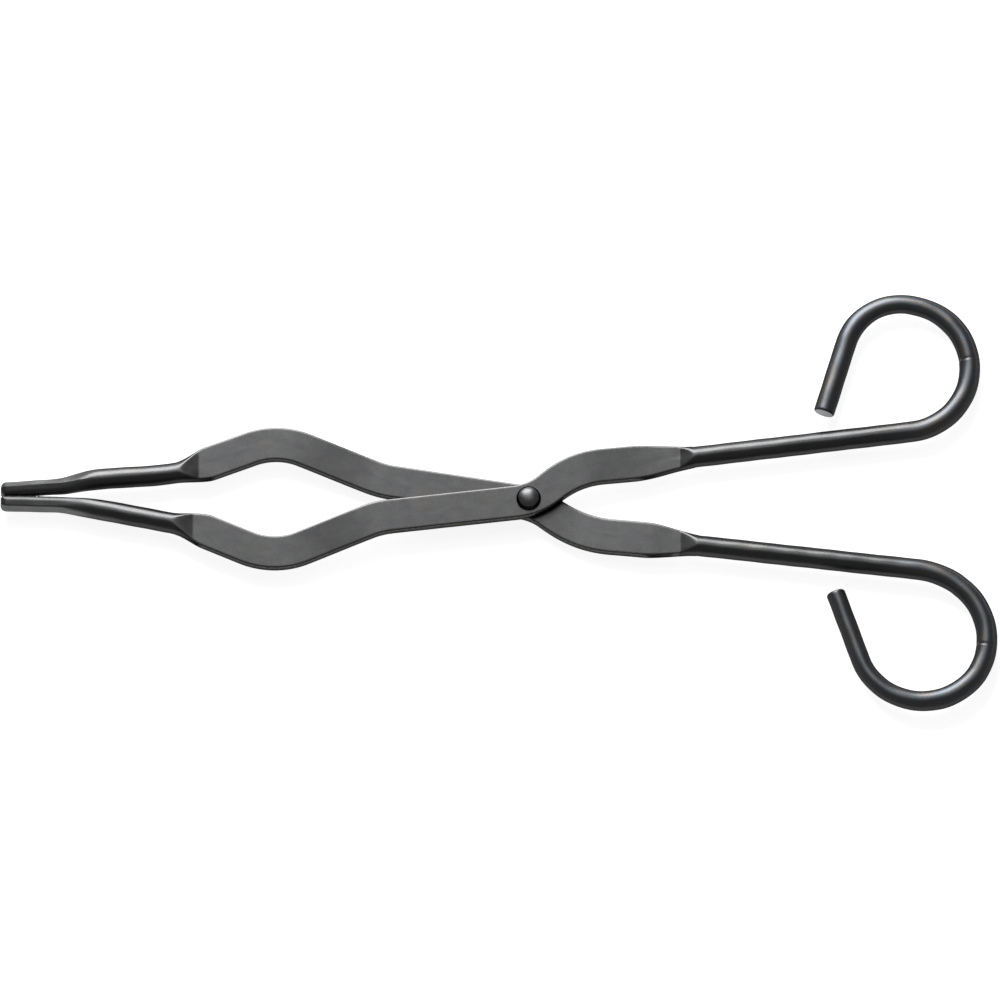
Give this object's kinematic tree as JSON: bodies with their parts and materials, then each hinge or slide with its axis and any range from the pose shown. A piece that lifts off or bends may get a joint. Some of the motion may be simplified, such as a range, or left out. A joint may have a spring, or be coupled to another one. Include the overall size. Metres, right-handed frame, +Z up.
{
  "type": "crucible tongs",
  "caption": "Riveted crucible tongs with finger rings, a bow that grips a crucible and serrated tips, in blackened steel bar.",
  "frame": {"origin": "centre of the rivet's flat tail, on the pivot axis", "axes": "+Z up the rivet, towards its round head; +X from the rivet towards the finger rings; the upper arm's ring on the +Y side"},
  "size_m": [0.2494, 0.1094, 0.0091],
  "materials": {
    "blackened_bar": "satin black oxide over drawn and pressed steel, with fine grain and worn edges",
    "blackened_rivet": "satin black oxide, hammered"
  },
  "bodies": {
    "lower_arm": {"lower_arm": "blackened_bar", "rivet": "blackened_rivet"},
    "upper_arm": {"upper_arm": "blackened_bar"}
  },
  "joints": [
    {"name": "jaw_pivot", "type": "hinge", "parent": "lower_arm", "child": "upper_arm", "pos_m": [0, 0, 0.00405], "axis": [0, 0, 1], "range_deg": [0, 110]}
  ]
}
